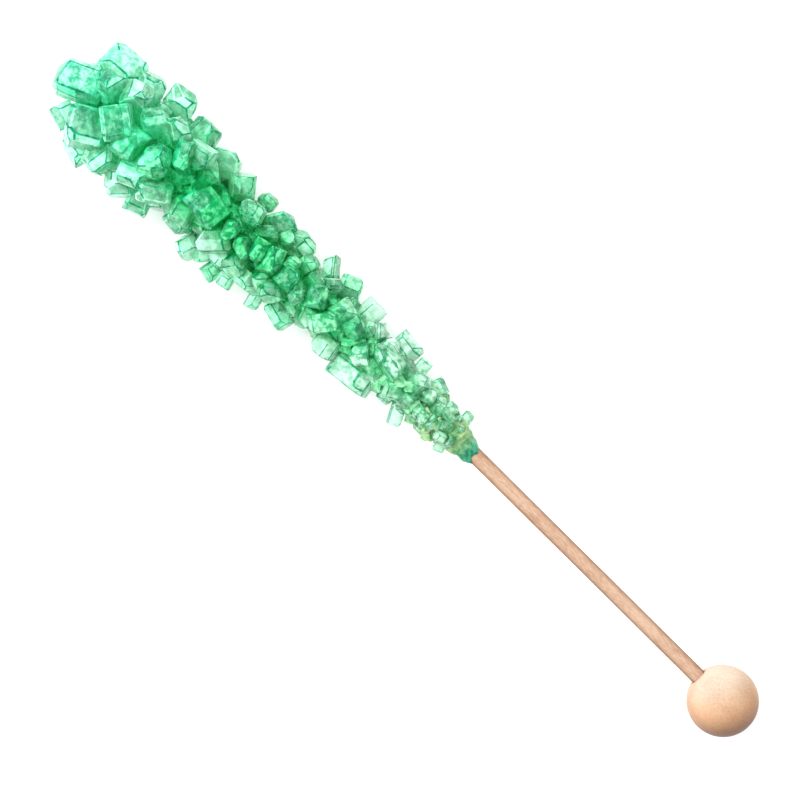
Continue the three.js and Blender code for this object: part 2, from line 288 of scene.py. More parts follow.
def cut(points, faces, facing, distance):
    """Drops what lies beyond a plane from a convex solid, and closes it with a face there."""
    side = [point.dot(facing) - distance for point in points]
    if max(side) <= 0:
        return points, faces
    points = list(points)
    crossings = {}

    def crossing(a, b):
        key = (min(a, b), max(a, b))
        if key not in crossings:
            crossings[key] = len(points)
            first, second = key
            share = side[first] / (side[first] - side[second])
            points.append(points[first].lerp(points[second], share))
        return crossings[key]

    kept, next_in_cap = [], {}
    for face in faces:
        loop, leaves, enters = [], None, None
        for a, b in zip(face, face[1:] + face[:1]):
            if side[a] <= 0:
                loop.append(a)
            if (side[a] <= 0) != (side[b] <= 0):
                loop.append(crossing(a, b))
                if side[a] <= 0:
                    leaves = loop[-1]
                else:
                    enters = loop[-1]
        if leaves is not None:
            next_in_cap[enters] = leaves
        if len(loop) > 2:
            kept.append(loop)
    cap = [next(iter(next_in_cap))]
    while next_in_cap[cap[-1]] != cap[0]:
        cap.append(next_in_cap[cap[-1]])
    return without_unused(points, [*kept, cap])


def draw_cuts(half, random):
    """Which of a block's edges are cut off, as (facing, distance) of each cut."""
    cuts = []
    for normal, chance in CUT_KINDS:
        taken = random() < chance
        share = spread(CUT_SHARE, random)
        skew = between(1 - CUT_SKEW, 1 + CUT_SKEW, random())
        if not taken:
            continue
        facing = Vector((normal[0] * skew, normal[1], normal[2] / skew)).normalized()
        corner = abs(facing.x) * half.x + abs(facing.y) * half.y + abs(facing.z) * half.z
        cuts.append((facing, corner - share * min(half)))
    return cuts


class Crystal:
    """A cut block, given in its own axes, with its slant, its turn and where its middle is."""

    def __init__(self, half, cuts, slant, turn, middle):
        self.half = half
        self.slant = slant
        self.turn = turn
        self.middle = middle
        self.points, self.faces = block(half)
        for facing, distance in cuts:
            self.points, self.faces = cut(self.points, self.faces, facing, distance)

    def size(self):
        return sum(self.half) * 2 / 3

    def matrix(self):
        shear = Matrix.Identity(4)
        shear[0][2] = self.slant
        return Matrix.Translation(self.middle) @ self.turn.to_matrix().to_4x4() @ shear

    def corners(self):
        matrix = self.matrix()
        return [matrix @ point for point in self.points]

    def push_in(self, outward, share):
        """Moves in until no corner stands out further than its share of the reach."""
        for _ in range(PUSH_IN_PASSES):
            excess = max(
                math.hypot(corner.y - drift_at(corner.x), corner.z) - share * reach_at(corner.x)
                for corner in self.corners()
            )
            self.middle = self.middle - outward * excess

    def lift_off_table(self):
        lowest = min(height_above_table(corner) for corner in self.corners())
        if lowest < 0:
            self.middle = self.middle - TABLE_UP * lowest


def key_crystal(row, random):
    x, y, length, width, turn_degrees = row
    depth = (length + width) / 2 * spread(KEY_DEPTH, random)
    radius = reach_at(x) - KEY_SUNK * depth
    beside = y - drift_at(x)
    z = math.sqrt(max(radius * radius - beside * beside, 0))
    half = Vector((length / 2, width / 2, depth / 2))
    cuts = draw_cuts(half, random)
    turn = lean(KEY_LEAN, random) @ about_z(math.radians(turn_degrees))
    crystal = Crystal(half, cuts, 0, turn, Vector((x, y, z)))
    crystal.lift_off_table()
    return crystal


def outward_at(x, angle):
    """The direction that the body's surface faces, at an angle round the dowel from +Y to +Z."""
    slope = (reach_at(x + SLOPE_STEP) - reach_at(x - SLOPE_STEP)) / (2 * SLOPE_STEP)
    return Vector((-slope, math.cos(angle), math.sin(angle))).normalized()


def ring_crystal(x, angle, random):
    size = crystal_size_at(x) * spread(SIZE_SPREAD, random)
    half = Vector((
        size / 2 * spread(LENGTH_SPREAD, random),
        size / 2 * spread(WIDTH_SPREAD, random),
        size / 2 * spread(HEIGHT_SPREAD, random),
    ))
    cuts = draw_cuts(half, random)
    outward = outward_at(x, angle)
    stand = UP.rotation_difference(outward)
    turn = stand @ lean(MOST_LEAN, random) @ about_z(2 * math.pi * random())
    slant = MOST_SLANT * jitter(1, random)
    more = 1 + MORE_REACH_UP_AND_DOWN * math.sin(angle) ** 2
    share = spread(REACH_SPREAD, random) * more
    reach = reach_at(x)
    middle = Vector((x, drift_at(x) + reach * math.cos(angle), reach * math.sin(angle)))
    crystal = Crystal(half, cuts, slant, turn, middle)
    crystal.push_in(outward, share)
    crystal.lift_off_table()
    return crystal


def grow_crystals():
    """The crystals of the part's source, in the same places."""
    random = random_stream(SEED)
    keys = [key_crystal(row, random) for row in KEY_CRYSTALS]
    others = []
    ring = 0
    x = TIP_X + FIRST_RING
    while x < BASE_X - LAST_RING:
        size = crystal_size_at(x)
        radius = max(reach_at(x) - size / 2, size / 2)
        count = max(FEWEST_IN_RING, round(2 * math.pi * radius / (NEIGHBOUR_SPACING * size)))
        for i in range(count):
            angle = 2 * math.pi * (i + ring / 2 + jitter(ANGLE_JITTER, random)) / count
            crystal = ring_crystal(x + size * jitter(RING_JITTER, random), angle, random)
            hidden = any(
                (key.middle - crystal.middle).length
                < KEY_CLEARANCE * (key.size() + crystal.size()) / 2
                for key in keys
            )
            if not hidden:
                others.append(crystal)
        ring += 1
        x += RING_SPACING * size
    return keys + others


# ---- a crystal's surface: chips, flats along the edges, wear and kinds of face -----------------
# Lengths are in the crystal's sizes, but for places along X, which are in millimetres.

CLEAR, DEEP, FROST = 0, 1, 2  # the kinds of face, each a material slot of candy_crystals

CHIPPED_SHARE = 0.35
CHIP_DEPTH = (0.04, 0.13)
CHIP_SKEW = 0.6  # how far a chip's facing strays from its corner's direction
EDGE_WIDTH = 0.05
LONGEST_EDGE = 0.26
SPLIT_PASSES = 4
ROUNDING = 0.3
WAVES = [(0.035, 0.45), (0.012, 0.13)]  # the faces' unevenness: (depth, width)
NOISE_STEP = 7.3  # how far apart in the noise two crystals lie
FACE_SEED = 11

FROSTED_SHARE = 0.5
THIN_END_FROSTED_SHARE = 0.85
THIN_END_FROM_X = -22
DEEP_SHARE = 0.35  # of the faces that look towards the tip
TIP_DEEP_SHARE = 0.85
TIP_UNTIL_X = -76
EDGE_DEEP_SHARE = 0.7  # of the flats along the edges: the others are frosted
LOOKS_TIPWARDS = 0.6  # the least cosine for a face that looks towards the tip
SAME_FACING = 0.9995  # and for one that still faces as it did before the flats were cut


def face_normal(points, face):
    """Newell's normal, which also holds for faces with very short edges."""
    normal = Vector((0, 0, 0))
    for a, b in zip(face, face[1:] + face[:1]):
        normal += points[a].cross(points[b])
    return normal.normalized()


def chipped(points, faces, size, random):
    """A convex solid with some of its corners broken off."""
    for corner in list(points):
        chance = random()
        depth = spread(CHIP_DEPTH, random) * size
        sideways = Vector((random() - 0.5, random() - 0.5, random() - 0.5))
        if chance < CHIPPED_SHARE:
            facing = (corner.normalized() + CHIP_SKEW * sideways).normalized()
            farthest = max(point.dot(facing) for point in points)
            points, faces = cut(points, faces, facing, farthest - depth)
    return points, faces


def bevelled(points, faces, normals, width):
    """A convex solid with a narrow flat along each of its edges."""
    owners = {}
    for index, face in enumerate(faces):
        for a, b in zip(face, face[1:] + face[:1]):
            owners.setdefault((min(a, b), max(a, b)), []).append(index)
    planes = []
    for (a, _), (first, second) in owners.items():
        facing = (normals[first] + normals[second]).normalized()
        depth = width / 2 * math.tan(normals[first].angle(normals[second]) / 2)
        planes.append((facing, points[a].dot(facing) - depth))
    for facing, distance in planes:
        points, faces = cut(points, faces, facing, distance)
    return points, faces


def face_kinds(points, faces, normals, crystal, random):
    """Draws each face's kind. A face that has none of the given normals is a flat on an edge."""
    x = crystal.middle.x
    tipwards = crystal.turn.inverted() @ Vector((-1, 0, 0))
    deep_share = TIP_DEEP_SHARE if x < TIP_UNTIL_X else DEEP_SHARE
    frosted_share = THIN_END_FROSTED_SHARE if x > THIN_END_FROM_X else FROSTED_SHARE
    kinds = []
    for face in faces:
        normal = face_normal(points, face)
        if max(normal.dot(own) for own in normals) < SAME_FACING:
            deep, frosted = EDGE_DEEP_SHARE, 1
        elif normal.dot(tipwards) > LOOKS_TIPWARDS:
            deep, frosted = deep_share, frosted_share
        else:
            deep, frosted = 0, frosted_share
        draw = random()
        kinds.append(DEEP if draw < deep else FROST if draw < frosted else CLEAR)
    return kinds


def worn(points, faces, kinds, size, number):
    """The same solid in small triangles, its edges rounded off and its faces gently uneven."""
    shape = bmesh.new()
    corners = [shape.verts.new(point) for point in points]
    for face, kind in zip(faces, kinds):
        shape.faces.new([corners[index] for index in face]).material_index = kind
    bmesh.ops.triangulate(shape, faces=shape.faces)
    for _ in range(SPLIT_PASSES):
        long_edges = [edge for edge in shape.edges if edge.calc_length() > LONGEST_EDGE * size]
        bmesh.ops.subdivide_edges(shape, edges=long_edges, cuts=1)
        bmesh.ops.triangulate(shape, faces=shape.faces)
    bmesh.ops.smooth_vert(
        shape, verts=shape.verts, factor=ROUNDING,
        use_axis_x=True, use_axis_y=True, use_axis_z=True,
    )
    shape.normal_update()
    start = Vector((NOISE_STEP * number, 0, 0))
    moves = []
    for vertex in shape.verts:
        depth = sum(
            size * amplitude * (noise.noise(vertex.co / (size * wave) + start) + 1) / 2
            for amplitude, wave in WAVES
        )
        moves.append(vertex.normal * depth)
    for vertex, move in zip(shape.verts, moves):
        vertex.co -= move
    shape.verts.index_update()
    points = [vertex.co.copy() for vertex in shape.verts]
    faces = [[vertex.index for vertex in face.verts] for face in shape.faces]
    kinds = [face.material_index for face in shape.faces]
    shape.free()
    return points, faces, kinds


def shown_crystals(crystals):
    """Each crystal as it shows, as points in the stick's frame, faces and kinds of face."""
    random = random_stream(FACE_SEED)
    solids = []
    for number, crystal in enumerate(crystals):
        size = crystal.size()
        points, faces = chipped(crystal.points, crystal.faces, size, random)
        normals = [face_normal(points, face) for face in faces]
        points, faces = bevelled(points, faces, normals, EDGE_WIDTH * size)
        kinds = face_kinds(points, faces, normals, crystal, random)
        points, faces, kinds = worn(points, faces, kinds, size, number)
        matrix = crystal.matrix()
        solids.append(([matrix @ point for point in points], faces, kinds))
    return solids


# ---- pieces, and from the stick's frame to the part's ------------------------------------------

DOWEL_LOW, DOWEL_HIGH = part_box("dowel")
STICK = (
    Matrix.Translation((DOWEL_LOW + DOWEL_HIGH) / 2)
    @ Matrix.Rotation(REST_TILT, 4, "Y")
    @ Matrix.Scale(MM, 4)
    @ Matrix.Translation(Vector((-(DOWEL_START_X + DOWEL_END_X) / 2, 0, 0)))
)
CREASE = math.radians(-22)  # an edge bent inwards by more than this is a crease
SHARP_EDGE = math.radians(26)
SCRAP_FACES = 20  # a separate part of a joined mesh with no more faces than this is left out


def mesh_object(name, points, faces):
    mesh = bpy.data.meshes.new(name)
    mesh.from_pydata([tuple(point) for point in points], [], faces)
    mesh.update()
    obj = bpy.data.objects.new(name, mesh)
    bpy.context.scene.collection.objects.link(obj)
    return obj


def piece(name, points, faces, node, smooth=False):
    """A shown piece of the stick, given in the stick's frame, that stands for a CAD node."""
    obj = mesh_object(name, [STICK @ point for point in points], faces)
    if smooth:
        obj.data.shade_smooth()
    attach(obj, "root")
    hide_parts(node)
    return obj


def smooth_but_creases(obj):
    """Shades a piece smooth but for its creases and sharp edges. Returns the creases' points."""
    shape = bmesh.new()
    shape.from_mesh(obj.data)
    for face in shape.faces:
        face.smooth = True
    creased = set()
    for edge in shape.edges:
        angle = edge.calc_face_angle_signed(0)
        edge.smooth = CREASE < angle < SHARP_EDGE
        if angle <= CREASE:
            creased.update(vertex.index for vertex in edge.verts)
    shape.to_mesh(obj.data)
    shape.free()
    return creased


def mark(obj, name, shares):
    """Gives each point of a piece a share, under a name that its material reads."""
    obj.data.attributes.new(name, "FLOAT", "POINT").data.foreach_set("value", shares)


def without_scraps(points, faces, kinds):
    """Leaves out the parts of a mesh with too few faces to be a crystal, left over by joining."""
    parent = list(range(len(points)))

    def root(index):
        while parent[index] != index:
            parent[index] = parent[parent[index]]
            index = parent[index]
        return index

    for face in faces:
        for index in face[1:]:
            parent[root(index)] = root(face[0])
    sizes = Counter(root(face[0]) for face in faces)
    kept = [number for number, face in enumerate(faces) if sizes[root(face[0])] > SCRAP_FACES]
    points, kept_faces = without_unused(points, [faces[number] for number in kept])
    return points, kept_faces, [kinds[number] for number in kept]


def joined(solids):
    """One solid's points, faces and kinds of face from many overlapping ones."""
    collection = bpy.data.collections.new("to_join")
    objects = []
    for points, faces, kinds in solids:
        obj = mesh_object("to_join", points, faces)
        for _ in (CLEAR, DEEP, FROST):
            obj.data.materials.append(None)
        obj.data.polygons.foreach_set("material_index", kinds)
        objects.append(obj)
    first = objects[0]
    for obj in objects[1:]:
        bpy.context.scene.collection.objects.unlink(obj)
        collection.objects.link(obj)
    union = first.modifiers.new("union", "BOOLEAN")
    union.operation = "UNION"
    union.operand_type = "COLLECTION"
    union.collection = collection
    union.solver = "MANIFOLD"
    union.material_mode = "INDEX"
    shown = first.evaluated_get(bpy.context.evaluated_depsgraph_get())
    mesh = shown.to_mesh()
    points = [vertex.co.copy() for vertex in mesh.vertices]
    faces = [list(polygon.vertices) for polygon in mesh.polygons]
    kinds = [polygon.material_index for polygon in mesh.polygons]
    shown.to_mesh_clear()
    for obj in objects:
        bpy.data.meshes.remove(obj.data)
    bpy.data.collections.remove(collection)
    return without_scraps(points, faces, kinds)


def lathed(profile, sides):
    """A closed solid turned round X from (x, radius) pairs, the first and last at radius 0."""
    points = [Vector((profile[0][0], 0, 0))]
    faces = []
    for x, radius in profile[1:-1]:
        for side in range(sides):
            angle = 2 * math.pi * side / sides
            points.append(Vector((x, radius * math.cos(angle), radius * math.sin(angle))))
    points.append(Vector((profile[-1][0], 0, 0)))
    last = len(points) - 1
    rings = len(profile) - 2
    for side in range(sides):
        after = (side + 1) % sides
        faces.append([0, 1 + after, 1 + side])
        for ring in range(rings - 1):
            start, end = 1 + ring * sides, 1 + (ring + 1) * sides
            faces.append([start + side, start + after, end + after, end + side])
        start = 1 + (rings - 1) * sides
        faces.append([start + side, start + after, last])
    return points, faces


# ---- the crystals' marks: depth for painted shade, paleness partly painted side light ----------

DEEPEST = 0.8  # the depth that counts as 1, in crystal sizes
CREASE_SHADE = 0.9  # added where crystals meet, as more painted shade in the creases
SIDE_LIGHT_BESIDE = (0.2, 0.9)  # where the painted side light starts and is full, as a share of the reach sideways
SIDE_LIGHT_LEFT = 0.55  # on the side towards +Y
SIDE_LIGHT_RIGHT = 0.85
OWN_PALENESS = (0.4, 1.5)
PALENESS_SEED = 21
NEAREST_CRYSTALS = 8  # how many are tried as the one that a point lies on


def crease_shade_marks(points, creased):
    """Painted shade: how deep each point lies between the crystals, 0 at their tops, 1 at the
    crust.
    """
    shares = []
    for index, point in enumerate(points):
        beside = point.y - drift_at(point.x)
        out = math.hypot(beside, point.z)
        outermost = reach_at(point.x) * (1 + MORE_REACH_UP_AND_DOWN * (point.z / out) ** 2)
        share = (outermost - out) / (DEEPEST * crystal_size_at(point.x))
        shares.append(min(max(share, 0) + (CREASE_SHADE if index in creased else 0), 1))
    return shares


def owner_finder(crystals):
    """Tells which crystal's surface a point of the candy lies on."""
    tree = KDTree(len(crystals))
    for index, crystal in enumerate(crystals):
        tree.insert(crystal.middle, index)
    tree.balance()
    inward = [crystal.matrix().inverted() for crystal in crystals]

    def outside(index, point):
        inside = inward[index] @ point
        return max(abs(inside[axis]) / crystals[index].half[axis] for axis in range(3))

    def owner(point):
        near = [index for _, index, _ in tree.find_n(point, NEAREST_CRYSTALS)]
        return min(near, key=lambda index: outside(index, point))

    return owner


def pale_and_side_light_marks(points, crystals):
    """How pale each point is: crystals differ, and painted side light makes those at the two long
    sides palest.
    """
    random = random_stream(PALENESS_SEED)
    own = [spread(OWN_PALENESS, random) for _ in crystals]
    owner = owner_finder(crystals)
    shares = []
    for point in points:
        beside = (point.y - drift_at(point.x)) / reach_at(point.x)
        most = SIDE_LIGHT_LEFT if beside > 0 else SIDE_LIGHT_RIGHT
        share = most * smooth_step(*SIDE_LIGHT_BESIDE, abs(beside)) * own[owner(point)]
        shares.append(min(share, 1))
    return shares


all_crystals = grow_crystals()
candy_points, candy_faces, candy_kinds = joined(shown_crystals(all_crystals))
candy = piece("candy_crystals", candy_points, candy_faces, "candy")
candy_creases = smooth_but_creases(candy)
# Marks for painted shade between the crystals, and for paleness with painted light at the long
# sides.
mark(candy, "depth", crease_shade_marks(candy_points, candy_creases))
mark(candy, "pale", pale_and_side_light_marks(candy_points, all_crystals))

# ---- the crust that the crystals grow out of: small crystals set round the dowel ---------------

CRUST_SUNK = 1.0  # its surface lies this far inside the body, in crystal sizes
THINNEST_CRUST = 0.4
CRUST_BEYOND_DOWEL = 4  # it goes on past the dowel's end by this much
CRUST_TIP_RADIUS = 1.5  # and narrows to this there
COLLAR_LENGTH = 5.5  # its rings stop this far from the candy's end
CRUST_STEP = 1.1
CRUST_RING_SPACING = 0.8  # in steps
FEWEST_IN_CRUST_RING = 5
CRUST_ANGLE_JITTER = 0.4
CRUST_RING_JITTER = 0.5
CRUST_SIZE = (0.9, 2.4)
CRUST_SIZE_POWER = 1.6  # there are more small ones than large ones
CRUST_LENGTH_SPREAD = (0.8, 1.3)
CRUST_WIDTH_SPREAD = (0.7, 1)
CRUST_DIP = (0.1, 0.4)  # how far a small crystal's middle lies inside the surface, in its sizes
OFF_THE_BORE = 0.6  # how far its middle stays off the bore, in its sizes
SMALL_END_LENGTH = 8  # this close to the candy's end, the small crystals are smaller still
SMALL_END_SIZE = 0.55
CRUST_SEED = 5


def crust_radius(x):
    """How far the crust reaches out from the body's centre line."""
    over_dowel_x = max(x, DOWEL_START_X)
    sunk = CRUST_SUNK * crystal_size_at(over_dowel_x)
    radius = max(reach_at(over_dowel_x) - sunk, BORE_RADIUS + THINNEST_CRUST)
    if x > DOWEL_START_X:
        return radius
    share = (x - DOWEL_START_X + CRUST_BEYOND_DOWEL) / CRUST_BEYOND_DOWEL
    return between(CRUST_TIP_RADIUS, radius, share)


def one_kind(points, faces):
    """A solid whose faces are all of one kind."""
    return points, faces, [0] * len(faces)


def crust_crystal(x, angle, radius, random):
    size = between(*CRUST_SIZE, random() ** CRUST_SIZE_POWER)
    if x >= BASE_X - SMALL_END_LENGTH:
        size *= SMALL_END_SIZE
    half = Vector((
        size / 2 * spread(CRUST_LENGTH_SPREAD, random),
        size / 2 * spread(CRUST_WIDTH_SPREAD, random),
        size / 2,
    ))
    cuts = draw_cuts(half, random)
    x += jitter(CRUST_RING_JITTER, random)
    least = BORE_RADIUS + OFF_THE_BORE * size if x > DOWEL_START_X else 0
    out = max(radius - size * spread(CRUST_DIP, random), least)
    middle = Vector((x, drift_at(x) + out * math.cos(angle), out * math.sin(angle)))
    return Crystal(half, cuts, 0, any_turn(random), middle)


def grow_crust():
    random = random_stream(CRUST_SEED)
    solids = []
    x = DOWEL_START_X - CRUST_BEYOND_DOWEL
    while x < BASE_X - COLLAR_LENGTH:
        radius = crust_radius(x)
        count = max(FEWEST_IN_CRUST_RING, round(2 * math.pi * radius / CRUST_STEP))
        for i in range(count):
            angle = 2 * math.pi * (i + jitter(CRUST_ANGLE_JITTER, random)) / count
            crystal = crust_crystal(x, angle, radius, random)
            solids.append(one_kind(crystal.corners(), crystal.faces))
        x += CRUST_RING_SPACING * CRUST_STEP
    return solids


SNUG_GAP = 0.04  # between the shown dowel and the syrup or the knob's hole round it
# The syrup's thickness: (distance from its end, thickness).
GLAZE = [(-9, 1.3), (-5, 1.35), (-3.2, 1.15), (-1.6, 0.8), (-0.5, 0.4), (0, 0.12)]
GLAZE_LENGTH = -GLAZE[0][0]
GLAZE_STEPS = 40
GLAZE_SIDES = 72
RAGGED_END = 1.2
RAGGED_ROUND = 1.3  # how fast the end's raggedness changes round the dowel
LUMPS = [(0.55, 1.5), (0.25, 0.6)]  # (height, width), the height as a share of the thickness
THINNEST_LUMP = 0.2


def glaze():
    """The syrup that set where the candy thins out on the dowel, as a lumpy sleeve round it."""
    inside = DOWEL_RADIUS + SNUG_GAP
    points, faces = [], []
    for step in range(GLAZE_STEPS + 1):
        for side in range(GLAZE_SIDES):
            angle = 2 * math.pi * side / GLAZE_SIDES
            towards = Vector((0, math.cos(angle), math.sin(angle)))
            end_x = BASE_X - RAGGED_END * (noise.noise(towards * RAGGED_ROUND) + 0.5)
            x = end_x - GLAZE_LENGTH * (1 - step / GLAZE_STEPS)
            thickness = along(GLAZE, 1, x - end_x)
            place = Vector((x, 0, 0)) + towards * (inside + thickness)
            lump = sum(height * noise.noise(place / wide) for height, wide in LUMPS)
            radius = inside + thickness * max(1 + lump, THINNEST_LUMP)
            points += [Vector((x, 0, 0)) + towards * inside, Vector((x, 0, 0)) + towards * radius]
    ring = 2 * GLAZE_SIDES
    for step in range(GLAZE_STEPS):
        for side in range(GLAZE_SIDES):
            this, after = step * ring + 2 * side, step * ring + 2 * ((side + 1) % GLAZE_SIDES)
            faces.append([this + 1, after + 1, after + ring + 1, this + ring + 1])
            faces.append([this, this + ring, after + ring, after])
    for side in range(GLAZE_SIDES):
        this, after = 2 * side, 2 * ((side + 1) % GLAZE_SIDES)
        faces.append([this, after, after + 1, this + 1])
        end = GLAZE_STEPS * ring
        faces.append([end + this, end + this + 1, end + after + 1, end + after])
    return points, faces


crust_points, crust_faces, _ = joined([*grow_crust(), one_kind(*glaze())])
crust = piece("candy_crust", crust_points, crust_faces, "candy")
smooth_but_creases(crust)

# ---- shader nodes ------------------------------------------------------------------------------


def new_material(name):
    made = bpy.data.materials.new(name)
    made.use_nodes = True
    made.node_tree.nodes.clear()
    return made, made.node_tree


def wire(node, inputs):
    """Links a node's inputs where a socket is given for them, and sets the others to the value."""
    for name, value in inputs.items():
        if isinstance(value, bpy.types.NodeSocket):
            node.id_data.links.new(value, node.inputs[name])
        else:
            node.inputs[name].default_value = value
    return node


def object_place(tree):
    return tree.nodes.new("ShaderNodeTexCoord").outputs["Object"]


def noise_texture(tree, place, scale, detail, roughness):
    inputs = {"Vector": place, "Scale": scale, "Detail": detail, "Roughness": roughness}
    return wire(tree.nodes.new("ShaderNodeTexNoise"), inputs).outputs["Fac"]


def map_range(tree, value, from_min, from_max, to_min=0, to_max=1, kind="LINEAR"):
    node = tree.nodes.new("ShaderNodeMapRange")
    node.interpolation_type = kind
    ends = {"From Min": from_min, "From Max": from_max, "To Min": to_min, "To Max": to_max}
    return wire(node, {"Value": value, **ends}).outputs["Result"]


def weighted_sum(tree, value, weight, added):
    node = tree.nodes.new("ShaderNodeMath")
    node.operation = "MULTIPLY_ADD"
    return wire(node, {0: value, 1: weight, 2: added}).outputs["Value"]


def mixed(tree, share, first, second, blend="MIX"):
    """Two colours mixed. A mix node's inputs 6 and 7 and its output 2 are those for colours."""
    node = tree.nodes.new("ShaderNodeMix")
    node.data_type = "RGBA"
    node.blend_type = blend
    return wire(node, {"Factor": share, 6: first, 7: second}).outputs[2]


def marked(tree, name):
    """The shares that a piece's points were marked with under a name."""
    node = tree.nodes.new("ShaderNodeAttribute")
    node.attribute_name = name
    return node.outputs["Fac"]


def colour_ramp(tree, share, rows):
    """A colour that changes with a share, as (share, colour) rows say."""
    ramp = tree.nodes.new("ShaderNodeValToRGB")
    stops = ramp.color_ramp.elements
    while len(stops) < len(rows):
        stops.new(0.5)
    for stop, (at, _) in zip(stops, rows):
        stop.position = at
    for stop, (_, colour) in zip(stops, rows):
        stop.color = (*colour, 1)
    return wire(ramp, {"Fac": share}).outputs["Color"]


def bumped(tree, height, strength, depth):
    inputs = {"Height": height, "Strength": strength, "Distance": depth}
    return wire(tree.nodes.new("ShaderNodeBump"), inputs).outputs["Normal"]


def show_surface(tree, inputs, volume=None):
    """Makes a principled surface what the material shows, over a volume where one is given."""
    surface = wire(tree.nodes.new("ShaderNodeBsdfPrincipled"), inputs)
    shown = {"Surface": surface.outputs["BSDF"]}
    if volume:
        shown["Volume"] = volume
    wire(tree.nodes.new("ShaderNodeOutputMaterial"), shown)


# ---- sugar -------------------------------------------------------------------------------------

GLASS_IOR = 1.33
GLASS_GLOSS = (0.2, 1, 0.6)
VOLUME_COLOUR = (0.02, 0.9, 0.5)
VOLUME_DENSITY = 100
# Noise: (scale, detail, roughness).
PATCHES = (700, 4, 0.6)
GRAIN = (1400, 3, 0.7)
RELIEF = (700, 4, 0.6)
PATCH_RANGE = (0.4, 0.6)
GRAIN_WEIGHT = 2.2
MOTTLING = (-0.05, 1.05)
BUMP_DEPTH = 0.0005
ZONES_FROM_X = -0.09
ZONES_TO_X = 0.02

# The colours of each kind of sugar surface along the candy: (x, dark and pale of its mottling).
CLEAR_COLOURS = [
    (-0.085, (0.09, 0.64, 0.42), (0.3, 0.79, 0.58)),
    (-0.062, (0.08, 0.68, 0.37), (0.3, 0.83, 0.54)),
    (-0.035, (0.07, 0.66, 0.34), (0.32, 0.83, 0.53)),
    (-0.02, (0.12, 0.66, 0.4), (0.42, 0.82, 0.58)),
    (-0.006, (0.26, 0.66, 0.48), (0.58, 0.83, 0.69)),
    (0.012, (0.22, 0.6, 0.39), (0.52, 0.78, 0.58)),
]
DEEP_COLOURS = [
    (-0.085, (0.003, 0.24, 0.14), (0.03, 0.5, 0.33)),
    (-0.03, (0.004, 0.26, 0.09), (0.04, 0.6, 0.3)),
    (0.0, (0.03, 0.36, 0.2), (0.15, 0.66, 0.42)),
]
FROST_COLOURS = [
    (-0.085, (0.08, 0.6, 0.38), (0.38, 0.84, 0.64)),
    (-0.068, (0.08, 0.64, 0.34), (0.36, 0.88, 0.6)),
    (-0.055, (0.01, 0.46, 0.13), (0.13, 0.84, 0.36)),
    (-0.035, (0.014, 0.46, 0.14), (0.19, 0.84, 0.4)),
    (-0.02, (0.04, 0.48, 0.18), (0.3, 0.84, 0.47)),
    (-0.01, (0.14, 0.5, 0.3), (0.53, 0.83, 0.65)),
    (0.012, (0.15, 0.47, 0.25), (0.48, 0.77, 0.53)),
]
CRUST_COLOURS = [
    (-0.08, (0.08, 0.7, 0.38), (0.26, 0.92, 0.6)),
    (-0.062, (0.006, 0.46, 0.12), (0.07, 0.76, 0.34)),
    (-0.02, (0.02, 0.4, 0.13), (0.14, 0.66, 0.3)),
    (0.0, (0.08, 0.36, 0.16), (0.28, 0.58, 0.34)),
    (0.007, (0.09, 0.28, 0.1), (0.3, 0.46, 0.24)),
    (0.0125, (0.11, 0.26, 0.09), (0.27, 0.38, 0.17)),
    (0.0155, (0.01, 0.13, 0.07), (0.05, 0.28, 0.16)),
]
# The colours of its painted shade by depth, and of its paleness, which is partly painted side
# light.
CREASE_SHADE_COLOURS = [
    (-0.085, (0.1, 0.75, 0.45)),
    (-0.066, (0.06, 0.72, 0.34)),
    (-0.055, (0.006, 0.5, 0.15)),
    (-0.04, (0.006, 0.42, 0.1)),
    (-0.01, (0.06, 0.48, 0.2)),
    (0.012, (0.12, 0.44, 0.2)),
]
PALE_AND_SIDE_LIGHT_COLOURS = [
    (-0.085, (0.54, 0.92, 0.76)),
    (-0.066, (0.56, 0.93, 0.76)),
    (-0.035, (0.5, 0.9, 0.68)),
    (-0.02, (0.56, 0.88, 0.7)),
    (-0.012, (0.68, 0.86, 0.76)),
    (0.012, (0.48, 0.76, 0.58)),
]
CREASE_SHADE_DEPTHS = (0.15, 0.9)
CREASE_SHADE_MOST = 0.95


def zone_colour(tree, zone, rows, column):
    """A colour that changes along the candy, as one column of a table of colours says."""
    span = ZONES_TO_X - ZONES_FROM_X
    return colour_ramp(tree, zone, [((row[0] - ZONES_FROM_X) / span, row[column]) for row in rows])


